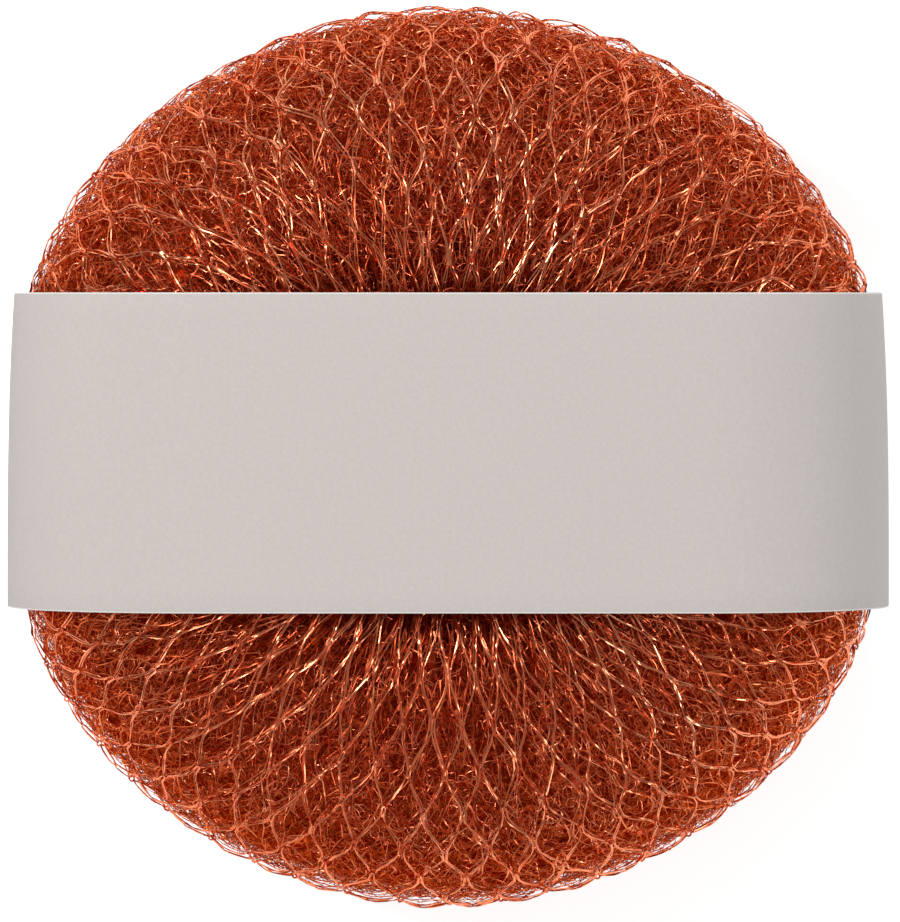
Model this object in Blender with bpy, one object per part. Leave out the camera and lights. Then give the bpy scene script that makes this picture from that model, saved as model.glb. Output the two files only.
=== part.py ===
"""Pot sponge: a knitted copper scourer, rolled into a thick ring, with a paper band round it.

Metres, +Z up. The sponge lies flat on the band's back, and its ring axis is the Z axis. The band
wraps the sponge round the Y axis and slides off it along Y.
"""

import math

import bmesh
import bpy
import numpy as np
from mathutils import Matrix

# The ball: an upright ring, highest on a circle round its hole
BALL_RADIUS_Y = 0.050
BALL_RADIUS_X = 0.05095
CREST_RADIUS = 0.027
HOLE_RADIUS = 0.0025
BALL_HEIGHT = 0.0404

# The paper band and its glued lap
PAPER = 0.0003
BAND_WIDTH = 0.035
BAND_CENTRE_Y = 0.0009
BAND_CLEARANCE = 0.0003
BAND_HOLD = 0.04945
HOLD_SHARPNESS = 22
LAP_LENGTH = 0.024
LAP_GAP = 0.0006
JOGGLE_LENGTH = 0.003
GLUE_THICKNESS = 0.0001
GLUE_INSET = 0.003

# The outer net: rows of knots, each half a wale on from the last
NET_WALES = 24
NET_STEPS = 12
NET_END_ANGLE = math.radians(148)
NET_WIRE = 0.0011
NET_WIRE_LEAST = 0.35

# The turns of the roll under it
LAYER_GAP = 0.0003
MIDDLE_THICKNESS = 0.0065
MIDDLE_LIP_ANGLE = math.radians(167)
PLEAT_DEPTH = 0.0024
PLEAT_AT_RIM = 0.25
INNER_THICKNESS = 0.0055
INNER_LIP_ANGLE = math.radians(160)

# The gathered end in the hole, and the wire that ties it
WAIST_RADIUS = 0.0018
WAIST_MARGIN = 0.001
NECK_LENGTH = 0.014
NECK_PLEATS = 12
NECK_PLEAT_SHARE = 0.12
SEAT_GAP = 0.0003
TIE_WIRE = 0.0005
TIE_TURNS = 3
TIE_SPACING = 0.00045
TIE_TAIL = 0.0016

# Facets
SMOOTH_ANGLE = math.radians(50)
BAND_END_STEPS = 10
MIDDLE_STEPS = 16
INNER_STEPS = 12
NECK_STEPS = 4
TIE_POINTS_PER_TURN = 14
TIE_SIDES_RESOLUTION = 1

COPPER = (0.62, 0.17, 0.045)
DEEP_COPPER = (0.38, 0.07, 0.015)
PAPER_GREY = (0.60, 0.57, 0.55)
GLUE_CLEAR = (0.78, 0.74, 0.62)

HALF_HEIGHT = BALL_HEIGHT / 2
LAP_HEIGHT = 2 * PAPER + GLUE_THICKNESS
MIDDLE_Z = LAP_HEIGHT + BAND_CLEARANCE + HALF_HEIGHT

# A straight wire of the net dips under the round surface through its two knots
ROW_DIP = (BALL_RADIUS_Y - CREST_RADIUS) * (1 - math.cos(NET_END_ANGLE / NET_STEPS))
WALE_DIP = BALL_RADIUS_Y * (1 - math.cos(math.pi / NET_WALES / 2))
NET_STANDOFF = NET_WIRE + ROW_DIP + WALE_DIP + LAYER_GAP
INNER_DEPTH = NET_STANDOFF + MIDDLE_THICKNESS + LAYER_GAP
CORE_DEPTH = INNER_DEPTH + INNER_THICKNESS + LAYER_GAP


def clear_scene():
    for thing in list(bpy.data.objects):
        bpy.data.objects.remove(thing)


def finish(name, colour, metallic, roughness):
    material = bpy.data.materials.new(name)
    material.use_nodes = True
    shader = material.node_tree.nodes["Principled BSDF"]
    shader.inputs["Base Color"].default_value = (*colour, 1)
    shader.inputs["Metallic"].default_value = metallic
    shader.inputs["Roughness"].default_value = roughness
    return material


def copper(name, shade, roughness):
    """Flat rolled copper wire, brighter outside than in the shade of the roll."""
    return finish(name, shade, 1.0, roughness)


def add_object(name, mesh, material, smooth=True):
    mesh.materials.append(material)
    if smooth:
        mesh.shade_smooth()
        mesh.set_sharp_from_angle(angle=SMOOTH_ANGLE)
    thing = bpy.data.objects.new(name, mesh)
    bpy.context.scene.collection.objects.link(thing)
    return thing


def outward_mesh(name, points, faces):
    """A closed mesh from points and faces, with its faces turned outwards."""
    mesh = bpy.data.meshes.new(name)
    mesh.from_pydata([tuple(point) for point in points], [], faces)
    shape = bmesh.new()
    shape.from_mesh(mesh)
    bmesh.ops.recalc_face_normals(shape, faces=shape.faces)
    shape.to_mesh(mesh)
    shape.free()
    return mesh


def drawn_in(x):
    """How far out a point of the free rim at x lies once the band holds the ball: never past BAND_HOLD."""
    return x / (1 + abs(x / BAND_HOLD) ** HOLD_SHARPNESS) ** (1 / HOLD_SHARPNESS)


def on_ball(turn, angle, depth):
    """A point at a depth under the ball's outside.

    turn goes round the ring's axis from +X. angle goes round the ring's section: 0 on the rim, 90
    degrees on the front crest, 180 in the hole and -90 on the back crest.
    """
    reach = BALL_RADIUS_Y - CREST_RADIUS if math.cos(angle) > 0 else CREST_RADIUS - HOLE_RADIUS
    radius = CREST_RADIUS + (reach - depth) * math.cos(angle)
    rim_x = BALL_RADIUS_X * math.cos(turn)
    pull = (drawn_in(rim_x) - rim_x) * ((1 + math.cos(angle)) / 2) ** 2
    x = radius * math.cos(turn) * BALL_RADIUS_X / BALL_RADIUS_Y + pull
    return (x, radius * math.sin(turn), MIDDLE_Z + (HALF_HEIGHT - depth) * math.sin(angle))


def even_angles(end_angle, steps):
    """Section angles from the front lip over the rim to the back lip, evenly spaced."""
    return [end_angle - 2 * end_angle * step / steps for step in range(steps + 1)]


def wrapped_grid(name, columns):
    """A closed mesh from columns of points, where the last column and the last row join the first."""
    rows = len(columns[0])
    points = [point for column in columns for point in column]
    faces = []
    for i in range(len(columns)):
        after = (i + 1) % len(columns)
        for j in range(rows):
            up = (j + 1) % rows
            faces.append((i * rows + j, after * rows + j, after * rows + up, i * rows + up))
    return outward_mesh(name, points, faces)


def pleat(turn, angle):
    """Extra depth of the gathered wales: none on their crests, more towards the hole."""
    share = PLEAT_AT_RIM + (1 - PLEAT_AT_RIM) * (1 - math.cos(angle)) / 2
    return PLEAT_DEPTH * share * (1 - math.cos(NET_WALES * turn)) / 2


def make_turn(name, columns, outside, inside, depth, thickness, folded, material):
    """One turn of the roll: a thick skin round the ring's section, open at the hole.

    outside and inside are the section angles of its two faces, both from the front lip to the back.
    """
    grid = []
    for column in range(columns):
        turn = 2 * math.pi * column / columns
        points = [on_ball(turn, angle, depth + folded * pleat(turn, angle)) for angle in outside]
        points += [on_ball(turn, angle, depth + thickness) for angle in reversed(inside)]
        grid.append(points)
    return add_object(name, wrapped_grid(name, grid), material)


def make_middle_turn(material):
    outside = even_angles(MIDDLE_LIP_ANGLE, MIDDLE_STEPS)
    inside = [MIDDLE_LIP_ANGLE, *even_angles(INNER_LIP_ANGLE, INNER_STEPS), -MIDDLE_LIP_ANGLE]
    columns = 2 * NET_WALES
    return make_turn("middle_turn", columns, outside, inside, NET_STANDOFF, MIDDLE_THICKNESS, 1, material)


def make_inner_turn(material):
    angles = even_angles(INNER_LIP_ANGLE, INNER_STEPS)
    return make_turn("inner_turn", NET_WALES, angles, angles, INNER_DEPTH, INNER_THICKNESS, 0, material)


def make_core_ring(material):
    """The first tight turns of the roll, as one ring."""
    angles = even_angles(INNER_LIP_ANGLE, INNER_STEPS)
    grid = []
    for column in range(NET_WALES):
        turn = 2 * math.pi * column / NET_WALES
        grid.append([on_ball(turn, angle, CORE_DEPTH) for angle in angles])
    return add_object("core_ring", wrapped_grid("core_ring", grid), material)


def make_outer_net(material):
    """The outermost layer of knit, as an open net of diamond gaps with a knot at each crossing."""
    points = []
    widths = []
    for row, angle in enumerate(even_angles(NET_END_ANGLE, NET_STEPS)):
        for wale in range(NET_WALES):
            turn = 2 * math.pi * (wale + row % 2 / 2) / NET_WALES
            x, y, z = on_ball(turn, angle, NET_WIRE / 2)
            points.append((x, y, z))
            widths.append(math.hypot(x, y) / CREST_RADIUS)
    faces = []
    for row in range(NET_STEPS - 1):
        sides = (row + 1) * NET_WALES
        for wale in range(NET_WALES):
            left = wale if row % 2 else (wale - 1) % NET_WALES
            right = (left + 1) % NET_WALES
            near = row * NET_WALES + wale
            faces.append((near, sides + right, near + 2 * NET_WALES, sides + left))
    net = add_object("outer_net", outward_mesh("outer_net", points, faces), material)
    share = net.vertex_groups.new(name="wire_width")
    for index, width in enumerate(widths):
        share.add([index], min(width, 1), "REPLACE")
    frame = net.modifiers.new("Wires", "WIREFRAME")
    frame.thickness = NET_WIRE
    frame.use_boundary = True
    frame.use_even_offset = True
    frame.vertex_group = share.name
    frame.thickness_vertex_group = NET_WIRE_LEAST
    return net


def hole_radius(height):
    """The radius of the middle turn's hole at a height over the middle plane."""
    rise = height / (HALF_HEIGHT - NET_STANDOFF)
    reach = CREST_RADIUS - HOLE_RADIUS - NET_STANDOFF
    return CREST_RADIUS - reach * math.sqrt(1 - rise * rise)


def make_gathered_neck(material):
    """The knit's gathered end, a pleated spool that flares out to the wall of the hole."""
    flare = NECK_LENGTH / 2
    seat = hole_radius(flare) - SEAT_GAP
    waist_end = TIE_TURNS * (TIE_WIRE + TIE_SPACING) / 2 + WAIST_MARGIN
    profile = []
    for step in range(NECK_STEPS + 1):
        share = 1 - step / NECK_STEPS
        height = waist_end + (flare - waist_end) * share
        profile.append((WAIST_RADIUS + (seat - WAIST_RADIUS) * share**2, height))
    profile += [(radius, -height) for radius, height in reversed(profile)]
    columns = 2 * NECK_PLEATS
    points = []
    for column in range(columns):
        turn = 2 * math.pi * column / columns
        share = 1 - NECK_PLEAT_SHARE * (column % 2)
        for radius, height in profile:
            across, up = radius * share * math.cos(turn), radius * share * math.sin(turn)
            points.append((across, up, MIDDLE_Z + height))
    rows = len(profile)
    faces = []
    for column in range(columns):
        after = (column + 1) % columns
        for row in range(rows - 1):
            start, other = column * rows + row, after * rows + row
            faces.append((start, other, other + 1, start + 1))
    faces.append(tuple(column * rows for column in range(columns)))
    faces.append(tuple(column * rows + rows - 1 for column in range(columns)))
    return add_object("gathered_neck", outward_mesh("gathered_neck", points, faces), material)


def tie_path():
    """The middle line of the tie wire: a helix round the waist, with a short straight tail at each end."""
    radius = WAIST_RADIUS + SEAT_GAP + TIE_WIRE / 2
    pitch = TIE_WIRE + TIE_SPACING
    count = TIE_TURNS * TIE_POINTS_PER_TURN
    turns = np.linspace(0, 2 * math.pi * TIE_TURNS, count + 1)
    heights = pitch * (turns / (2 * math.pi) - TIE_TURNS / 2)
    helix = np.column_stack((radius * np.cos(turns), radius * np.sin(turns), MIDDLE_Z + heights))
    start = helix[0] + (0, -TIE_TAIL, 0)
    end = helix[-1] + (0, TIE_TAIL, 0)
    return np.vstack((start, helix, end))


def least_gap(points, width, apart):
    """The least gap of a tube to itself, measured between points at least so many steps apart."""
    gaps = np.linalg.norm(points[:, None] - points[None, :], axis=2)
    steps = np.abs(np.subtract.outer(np.arange(len(points)), np.arange(len(points))))
    return gaps[steps >= apart].min() - width


def make_tie_wire(material):
    points = tie_path()
    gap = least_gap(points, TIE_WIRE, TIE_POINTS_PER_TURN // 2)
    print(f"tie_wire: least gap to itself {gap * 1000:.2f} mm")
    curve = bpy.data.curves.new("tie_wire", "CURVE")
    curve.dimensions = "3D"
    curve.bevel_depth = TIE_WIRE / 2
    curve.bevel_resolution = TIE_SIDES_RESOLUTION
    curve.use_fill_caps = True
    line = curve.splines.new("POLY")
    line.points.add(len(points) - 1)
    for point, place in zip(line.points, points):
        point.co = (*place, 1)
    curve.materials.append(material)
    thing = bpy.data.objects.new("tie_wire", curve)
    bpy.context.scene.collection.objects.link(thing)
    return thing


def band_side(side, offset):
    """One rounded end of the band's section in X and Z, from the back up to the front.

    side is 1 at +X and -1 at -X. offset is measured out from the paper's inner face.
    """
    path = []
    for step in range(2 * BAND_END_STEPS + 1):
        angle = math.pi * (step / (2 * BAND_END_STEPS) - 0.5)
        x, _, z = on_ball(0, angle, -BAND_CLEARANCE - offset)
        if angle < 0:
            drop = MIDDLE_Z - PAPER + offset
            z = MIDDLE_Z + drop * math.sin(angle)
        path.append((side * x, z))
    return path


def band_path(offset):
    """The band's section in X and Z, at an offset out from its inner face.

    It runs from the lap's inner end to +X, round the front to -X, and back to the lap's outer end.
    """
    half_lap = LAP_LENGTH / 2
    raised = LAP_HEIGHT - offset
    laid = PAPER - offset
    bend = half_lap + LAP_GAP
    path = [(-half_lap, raised), (bend, raised), (bend + JOGGLE_LENGTH, laid)]
    path += band_side(1, offset)
    path += band_side(-1, offset)[::-1]
    path += [(half_lap, laid)]
    return path


def band_edges():
    """The Y of the band's lower and upper edges in its own frame, whose origin is on the slide's axis."""
    return (-BAND_WIDTH / 2, BAND_WIDTH / 2)


def make_paper_band(carrier, material):
    """One strip of stiff paper, bent round the ball, with its ends lapped at the back."""
    inner, outer = band_path(0), band_path(PAPER)
    low, high = band_edges()
    count = len(inner)
    points = []
    for y in (low, high):
        for path in (inner, outer):
            points += [(x, y, z) for x, z in path]
    low_in, low_out, high_in, high_out = (part * count for part in range(4))
    faces = [(low_in, high_in, high_out, low_out)]
    last = count - 1
    faces.append((low_in + last, low_out + last, high_out + last, high_in + last))
    for here in range(last):
        after = here + 1
        faces.append((low_in + here, low_in + after, high_in + after, high_in + here))
        faces.append((low_out + here, high_out + here, high_out + after, low_out + after))
        faces.append((low_in + here, low_out + here, low_out + after, low_in + after))
        faces.append((high_in + here, high_in + after, high_out + after, high_out + here))
    band = add_object("paper_band", outward_mesh("paper_band", points, faces), material)
    band.parent = carrier
    return band


def make_glue_strip(carrier, material):
    """The flat strip of glue between the two ends of the lap."""
    low, high = band_edges()
    size = (LAP_LENGTH - 2 * GLUE_INSET, high - low - 2 * GLUE_INSET, GLUE_THICKNESS)
    mesh = bpy.data.meshes.new("glue_strip")
    shape = bmesh.new()
    bmesh.ops.create_cube(shape, size=1)
    for vertex in shape.verts:
        x, y, z = (size[axis] * vertex.co[axis] for axis in range(3))
        vertex.co = (x, y, PAPER + (GLUE_THICKNESS if z > 0 else 0))
    shape.to_mesh(mesh)
    shape.free()
    strip = add_object("glue_strip", mesh, material, smooth=False)
    strip.parent = carrier
    return strip


def add_band_carrier():
    """The band's moving frame, with its origin on the slide's axis."""
    carrier = bpy.data.objects.new("band_slide_axis", None)
    carrier.matrix_world = Matrix.Translation((0, BAND_CENTRE_Y, 0))
    bpy.context.scene.collection.objects.link(carrier)
    return carrier


def main():
    clear_scene()
    make_core_ring(copper("core_copper", DEEP_COPPER, 0.5))
    make_inner_turn(copper("inner_copper", DEEP_COPPER, 0.45))
    make_middle_turn(copper("middle_copper", COPPER, 0.45))
    make_outer_net(copper("net_copper", COPPER, 0.3))
    make_gathered_neck(copper("neck_copper", COPPER, 0.4))
    make_tie_wire(copper("tie_copper", COPPER, 0.3))
    carrier = add_band_carrier()
    make_paper_band(carrier, finish("uncoated_paper", PAPER_GREY, 0.0, 0.8))
    make_glue_strip(carrier, finish("hot_melt_glue", GLUE_CLEAR, 0.0, 0.4))


main()
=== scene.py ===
"""Looks of a pot sponge: a thick round ball of knitted copper wire in a bare paper band. Metres, +Z up."""

import math

import bpy
import numpy as np
from bpy.props import FloatProperty, FloatVectorProperty, IntProperty, PointerProperty
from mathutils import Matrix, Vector


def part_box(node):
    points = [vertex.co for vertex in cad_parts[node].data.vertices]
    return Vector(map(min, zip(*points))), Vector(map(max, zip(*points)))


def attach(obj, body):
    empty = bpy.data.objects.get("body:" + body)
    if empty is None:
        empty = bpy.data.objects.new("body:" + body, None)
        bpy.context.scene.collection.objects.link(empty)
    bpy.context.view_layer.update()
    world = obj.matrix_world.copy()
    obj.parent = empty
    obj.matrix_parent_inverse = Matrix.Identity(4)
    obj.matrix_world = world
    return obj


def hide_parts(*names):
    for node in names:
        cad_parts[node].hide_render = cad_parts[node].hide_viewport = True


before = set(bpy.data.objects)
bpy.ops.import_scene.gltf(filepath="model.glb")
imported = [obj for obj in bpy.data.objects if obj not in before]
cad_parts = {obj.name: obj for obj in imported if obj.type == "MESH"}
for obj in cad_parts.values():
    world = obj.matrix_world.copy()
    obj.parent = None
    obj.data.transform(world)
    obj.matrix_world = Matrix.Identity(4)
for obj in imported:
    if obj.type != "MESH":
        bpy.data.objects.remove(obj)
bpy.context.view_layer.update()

bl_info = {
    "name": "Pot Sponge",
    "version": (1, 0, 0),
    "blender": (4, 5, 0),
    "location": "3D Viewport > Sidebar > Sponge",
    "description": "Builds a knitted copper pot sponge in its paper band",
    "category": "Object",
}

NET_LOW, NET_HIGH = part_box("outer_net")
BAND_LOW, BAND_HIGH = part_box("paper_band")
NECK_LOW, NECK_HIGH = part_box("gathered_neck")
TURN = 2 * math.pi
MM_PER_METRE = 1000
SHARP_ANGLE = math.radians(60)

# The step out of the ball that gives its surface's direction, and the least radius for which the
# room in a row of knots is worked out.
OUT_STEP = 0.001
LEAST_RADIUS = 0.001

# Heights of a leg's points on its way from one knot to the next, as shares of a course.
COARSE_LEGS = (0.13, 0.31, 0.5, 0.69, 0.87)
FINE_LEGS = (0.5,)

# What wanders over the knit does so on a random grid, with a cell in loops, and to a farthest reach.
# These pairs shift the knit round the ring in wales, along its section in courses and in depth in metres.
ROUND_SHIFTS = ((1.0, 0.25), (8.0, 0.6))
ALONG_SHIFTS = ((1.0, 0.22), (7.0, 0.5))
DEPTH_SHIFTS = ((1.3, 0.00025), (5.0, 0.00030))

# Single wires curl besides, on a finer grid, by a share of a loop, or of this length in depth.
CURL_CELL = 0.45
CURL_DEPTH = 0.0018

# How the outer strand's gap sways out of the surface, widens, twists and tarnishes, in cells and reach.
SWAY = (1.7, 0.9)
SPREAD = (0.8, 0.8)
OUTER_TWIST = (0.8, math.pi)
OUTER_TARNISH = (2.5, 0.45)
UNDER_TWIST = (0.9, 1.5 * math.pi)
UNDER_TARNISH = (2.0, 0.5)

# Radians by which the outer wires turn in a knot, and the least shares of their width and of their
# gap that are left towards the hole and in a knot.
KNOT_TWIST = 1.3
LEAST_WIDTH = 0.4
LEAST_GAP = 0.2
LEAST_GAP_IN_KNOT = 0.3

# A wire's finish comes from a map. A quad covers a patch of it that reaches PATCH to each side of
# the quad's two tones, which are kept off the map's edges.
WIRE_MAP = "OFBake"
PATCH = 0.004
TONES = (0.02, 0.98)

# An open wire's end, and how thick or wide the wires inside are, as shares of a whole wire.
WIRE_TIP = 0.05
UNDER_THICKNESS = 0.65
LOOP_WIDTH = 0.5
LOOP_THICKNESS = 0.62

# Loose loops: their sets, the points of each, its long half-width, its short one and its bend as
# shares of that, and its tilt in radians.
LOOP_SETS = 3
LOOP_POINTS = 8
LOOP_RADII = (0.0006, 0.0014)
LOOP_SLIMNESS = (0.25, 0.9)
LOOP_BEND = (-0.4, 0.4)
LOOP_TILT = (-1.0, 1.0)

# The heart's points round the ring and round its section, and its lumps' cell in points and height.
HEART_GRID = (240, 120)
HEART_LUMP_CELL = 4.0
HEART_LUMP = 0.0005

# The gathered end: its radius in the tie wire, its wires, the points of each and the share of a turn
# from one to the next, and its middle's rings, places in a ring and share of the height.
NECK_WAIST = 0.0016
NECK_WIRES = 110
NECK_STEPS = 18
GOLDEN_SHARE = 0.618
NECK_GRID = (33, 48)
NECK_MIDDLE = 0.62

# Points of the paper's grid across a face, round a cut edge and round one end of the band, and the
# cell of the slow waves.
FACE_POINTS = 15
EDGE_POINTS = 5
END_POINTS = 65
RIPPLE_CELL = 0.012

# The camera's sensor in millimetres, and the floor's half-width and height, just under the lowest wire.
SENSOR_HEIGHT = 24.0
FLOOR_HALF = 3.0
FLOOR_Z = -0.0001

# Seeds of the random draws. The number of a piece, an axis or an order is added to them. Each layer
# under the outer one has seeds for its shifts, curls, twist and tarnish.
UNDER_SEEDS = (
    (150, 60, 20, 21), (100, 70, 120, 121), (200, 80, 220, 221), (300, 90, 320, 321), (400, 100, 420, 421))
OUTER_SHIFT_SEED = 11
OUTER_CURL_SEED = 50
SWAY_SEED = 21
SPREAD_SEED = 22
OUTER_TWIST_SEED = 31
OUTER_TARNISH_SEED = 41
LOOP_SEED = 700
LOOP_FINISH_SEED = 710
HEART_SEED = 5
NECK_SEED = 77
RIPPLE_SEED = 3


def linear(hex_colour):
    """An sRGB hex colour as linear red, green and blue."""
    levels = [int(hex_colour[start:start + 2], 16) / 255 for start in (1, 3, 5)]
    return [level / 12.92 if level <= 0.04045 else ((level + 0.055) / 1.055) ** 2.4 for level in levels]


def length(name, description, default):
    """A length property in metres."""
    return FloatProperty(name=name, description=description, default=default, unit="LENGTH", precision=5)


def amount(name, description, default):
    """A property that is a plain number."""
    return FloatProperty(name=name, description=description, default=default)


def colour(name, description, default):
    """A colour property, from an sRGB hex value."""
    return FloatVectorProperty(
        name=name, description=description, default=linear(default), subtype="COLOR", min=0, max=1)


class BallSizes(bpy.types.PropertyGroup):
    """Shape of the ball, a ring with a nearly closed hole, as the solids have it."""

    radius_y: length("Radius", "Half the ball's length across the band", NET_HIGH[1])
    radius_x: length("Free radius", "Half the ball's length along the band, when it isn't held", 0.05095)
    crest_radius: length("Crest radius", "Radius of the circle on which the ball stands highest", 0.027)
    hole_radius: length("Hole radius", "Radius of the hole at its narrowest", 0.0025)
    height: length("Height", "Thickness of the ball between its faces", 0.0404)
    middle_z: length("Middle height", "Height of the ball's middle plane", (NET_LOW[2] + NET_HIGH[2]) / 2)
    hold: length("Hold", "Half-length past which the band draws the ball in", 0.04945)
    hold_sharpness: amount("Hold sharpness", "How suddenly the band's hold sets in", 22)


class KnitSizes(bpy.types.PropertyGroup):
    """The knit and its flat wire."""

    wales: IntProperty(name="Wales", description="Columns of loops round the ring", default=56)
    courses: IntProperty(
        name="Courses", description="Rows of loops from the front of the hole to its back", default=23)
    end_angle: FloatProperty(
        name="End angle", description="Section angle, from the rim, at which the knit ends in the hole",
        default=math.radians(152), subtype="ANGLE")
    wire_width: length("Wire width", "Width of the flat wire at the rim", 0.00022)
    wire_thickness: length("Wire thickness", "Thickness of the flat wire", 0.00013)
    ply_gap: length("Ply spacing", "Usual distance between the two wires of a strand, between knots", 0.00034)
    leg_gap: length("Leg spacing", "Distance between the two legs of a loop at a knot", 0.0002)
    hook: length("Hook", "How far a loop reaches past the knot that it hangs on", 0.00060)
    hook_lift: length("Hook lift", "How far a loop's head lies under the next one", 0.00014)
    gap: length("Gap", "Depth at the rim at which the rolled layers start under the outer knit", 0.0008)
    loops: IntProperty(
        name="Loose loops", description="Small loose loops in the roll, in each set", default=4100)
    rim_depth: length("Depth at the rim", "Depth under which the roll is too dense to see into", 0.0018)
    hole_depth: length("Depth inside", "The same depth on the way into the hole, where it is deepest", 0.0080)
    hole_share: amount("Share at the hole", "Share of that depth left in the hole", 0.04)
    held_width: length("Held width", "Distance from the middle within which the band presses", 0.019)


class CopperColours(bpy.types.PropertyGroup):
    """Shades of the copper. Deep and heart are painted shade and red glow of wire far down in the roll."""

    bright: colour("Bright", "Bare wire on the outside", "#F8A67C")
    tarnished: colour("Tarnished", "Wire that has darkened a little", "#E66936")
    # Painted shade and red glow: wire deep in the roll is mixed towards this darker, redder colour.
    deep: colour("Deep", "Wire deep in the roll, lit mostly by other wires", "#E23C0B")
    glancing: colour("Glancing", "Reflection at a glancing angle", "#FFAC80")
    # Painted shade: the dark red that stands for wire too far down the roll for light to reach.
    heart: colour("Heart", "The dense middle of the roll", "#841C05")


class BandSizes(bpy.types.PropertyGroup):
    """The paper band."""

    thickness: length("Thickness", "Thickness of the paper", 0.0003)
    lap: length("Lap", "Length over which the band's ends overlap at the back", 0.024)
    lap_gap: length("Lap gap", "From the outer end of the lap to the bend in the inner one", 0.0006)
    joggle: length("Joggle", "Length over which the inner end steps up onto the outer", 0.003)
    glue: length("Glue", "Thickness of the glue in the lap", 0.0001)
    clearance: length("Clearance", "From the ball's outside to the paper", 0.0003)
    taper: length("Taper", "How much less the band reaches out at its upper edge, on each side", 0.0008)
    ripple: length("Ripple", "Height of the slow waves in the front", 0.00012)


class BandColours(bpy.types.PropertyGroup):
    """Shades of the paper and its glue."""

    face: colour("Face", "Printed face of the paper", "#D0C9C5")
    fibre: colour("Fibre", "Slightly darker fibres in the face", "#C5BEBA")
    edge: colour("Cut edge", "Bare white core that shows at the cut edges", "#EDEAE6")
    glue: colour("Glue", "Set glue in the lap", "#E4DFD2")


class StageSettings(bpy.types.PropertyGroup):
    """Camera, lamps and floor."""

    camera_distance: length("Camera distance", "From the camera to the ball's middle plane", 0.9)
    camera_y: length("Camera height", "How far up the face the camera stands", 0.0185)
    view_x: length("Aim across", "X of the point that the middle of the picture shows", 0.0002)
    view_y: length("Aim up", "Y of the point that the middle of the picture shows", -0.0004)
    view_height: length("View height", "Height of the middle plane that the picture shows", 0.1028)
    floor: colour("Floor", "Pale floor", "#E6E6E6")
    floor_lift: amount("Floor lift", "Light added to the floor where the camera or the metal sees it", 0.6)
    key: amount("Key lamp", "Radiance of the main lamp at the upper left", 17)
    fill: amount("Fill lamps", "Radiance of the lamps near and far, and a share of the right one's", 5.6)
    ambient: amount("Ambient", "Radiance of the world", 0.34)


SETTINGS = {
    "sponge_ball": BallSizes,
    "sponge_knit": KnitSizes,
    "sponge_copper": CopperColours,
    "sponge_band": BandSizes,
    "sponge_paper": BandColours,
    "sponge_stage": StageSettings,
}


def unit(vectors):
    """The same directions at length 1."""
    return vectors / np.maximum(np.linalg.norm(vectors, axis=-1, keepdims=True), 1e-12)


def eased(share):
    """3t squared minus 2t cubed: a share that leaves 0 and reaches 1 without a bend."""
    return share * share * (3 - 2 * share)


def lattice_noise(seed, across, down, cell, x, y):
    """Smooth random values between -1 and 1 over a net that closes on itself in x.

    Random values stand on a grid with about one point to each cell, and between them the value is
    blended along x and y by the curve 3t squared minus 2t cubed.
    """
    columns = max(3, round(across / cell))
    rows = math.ceil(down / cell) + 4
    grid = np.random.default_rng(seed).uniform(-1, 1, (columns, rows))
    grid_x = (x % across) / across * columns
    grid_y = np.clip(y / cell + 1, 0, rows - 2)
    column = np.floor(grid_x).astype(int)
    row = np.floor(grid_y).astype(int)
    share_x = eased(grid_x - column)
    share_y = eased(grid_y - row)
    near, far = column % columns, (column + 1) % columns
    low = grid[near, row] * (1 - share_x) + grid[far, row] * share_x
    high = grid[near, row + 1] * (1 - share_x) + grid[far, row + 1] * share_x
    return low * (1 - share_y) + high * share_y


def wander(seed, net, variation, x, y):
    """Smooth random values over a net of knit, on a grid with the cell and to the reach of a variation."""
    cell, reach = variation
    return reach * lattice_noise(seed, *net, cell, x, y)


def from_least(least, share):
    """The least value where a share is 0, 1 where it is 1, and evenly between them."""
    return least + (1 - least) * share


def on_ball(turn, angle, depth):
    """Points at a depth under the ball's outside, as an array that ends in XYZ.

    The ball is a ring. Its section is half one ellipse, out to the rim, and half another, in to the
    hole, each drawn in by the depth. The section angle is 0 on the rim and a quarter turn on the front
    crest. The section is turned round Z, stretched in X, and its rim is drawn in where the band holds
    it: x over the nth root of one plus the nth power of x over the hold, where n is the sharpness.
    """
    ball = bpy.context.scene.sponge_ball
    outward = np.cos(angle)
    rim_reach = ball.radius_y - ball.crest_radius
    hole_reach = ball.crest_radius - ball.hole_radius
    radius = ball.crest_radius + (np.where(outward > 0, rim_reach, hole_reach) - depth) * outward
    rim_x = ball.radius_x * np.cos(turn)
    held_x = rim_x / (1 + np.abs(rim_x / ball.hold) ** ball.hold_sharpness) ** (1 / ball.hold_sharpness)
    x = radius * np.cos(turn) * ball.radius_x / ball.radius_y + (held_x - rim_x) * ((1 + outward) / 2) ** 2
    y = radius * np.sin(turn)
    z = ball.middle_z + (ball.height / 2 - depth) * np.sin(angle)
    return np.stack(np.broadcast_arrays(x, y, z), axis=-1)


def under_ball(turn, angle, depth):
    """Points at a depth, and the directions out of the ball there, to the points 1 mm less deep."""
    points = on_ball(turn, angle, depth)
    return points, unit(on_ball(turn, angle, depth - OUT_STEP) - points)


def heart_depth(angle):
    """The depth under which the roll is too dense to see into.

    It grows from the rim towards the hole with one minus the cosine of the section angle, and is
    drawn back to a small share in the hole itself by the fifth power of that cosine's inward part.
    """
    knit = bpy.context.scene.sponge_knit
    inward = -np.cos(angle)
    depth = knit.rim_depth + (knit.hole_depth - knit.rim_depth) * (1 + inward) / 2
    return depth * (1 - (1 - knit.hole_share) * np.maximum(inward, 0) ** 5)


def layer_depth(turn, angle, first, share):
    """The depth of what lies at a share of the way from a first depth to the heart.

    The first depth is given for the rim, and is 2.2 minus 1.2 times the cosine of the section angle
    as much elsewhere. The way is shorter by up to 0.4 on the ball's upper half, which is denser.
    """
    first = first * (2.2 - 1.2 * np.cos(angle))
    return first + share * (heart_depth(angle) - first) * (1 - 0.4 * np.maximum(np.sin(turn), 0))


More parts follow.
